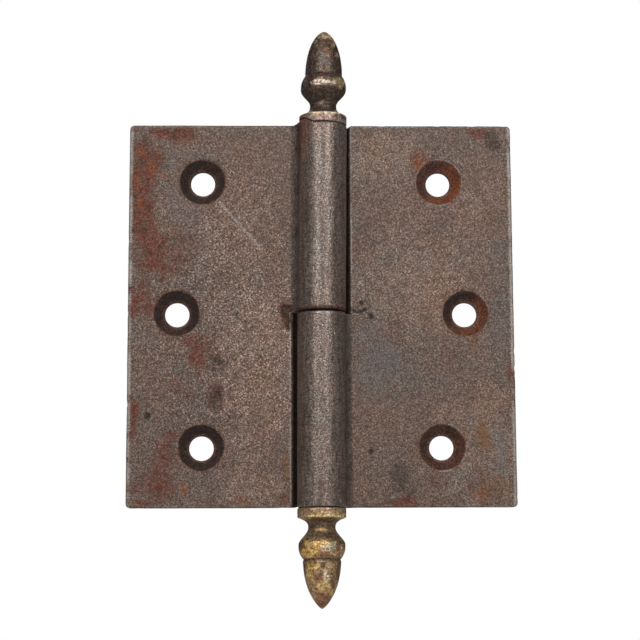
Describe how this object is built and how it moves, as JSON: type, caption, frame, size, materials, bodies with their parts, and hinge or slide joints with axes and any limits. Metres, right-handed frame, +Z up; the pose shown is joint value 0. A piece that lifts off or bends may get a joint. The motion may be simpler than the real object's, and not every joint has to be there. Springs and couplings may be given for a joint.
{
  "type": "lift-off butt hinge",
  "caption": "Square cast-iron lift-off butt hinge laid open flat, with countersunk leaves, one knuckle on each leaf, a fixed pintle and turned brass acorn finials.",
  "frame": {"origin": "centre of the frame leaf's flat back face, half way along the pintle", "axes": "+Z up along the pintle towards the door leaf's knuckle, +Y out of the leaves' back faces into the door frame, +X from the knuckles out over the frame leaf"},
  "size_m": [0.1016, 0.0126, 0.1538],
  "materials": {
    "cast_iron": "grainy grey-brown casting with patches of red rust, worn bright on the edges",
    "pin_steel": "plain turned steel, lightly stained",
    "finial_brass": "aged brass, dark in the hollows and rubbed bright on the proud surfaces",
    "collar_brass": "coppery tarnished brass, rubbed"
  },
  "bodies": {
    "frame_side": {"frame_leaf": "cast_iron", "lower_collar": "collar_brass", "lower_finial": "finial_brass"},
    "pintle": {"pintle_pin": "pin_steel"},
    "door_side": {"door_leaf": "cast_iron", "upper_collar": "collar_brass", "upper_finial": "finial_brass"}
  },
  "joints": [
    {"name": "swing", "type": "hinge", "parent": "frame_side", "child": "pintle", "pos_m": [-0.0254, -0.0047, 0], "axis": [0, 0, 1], "range_deg": [-100, 180]},
    {"name": "lift_off", "type": "slide", "parent": "pintle", "child": "door_side", "axis": [0, 0, 1], "range_m": [0, 0.036]}
  ]
}
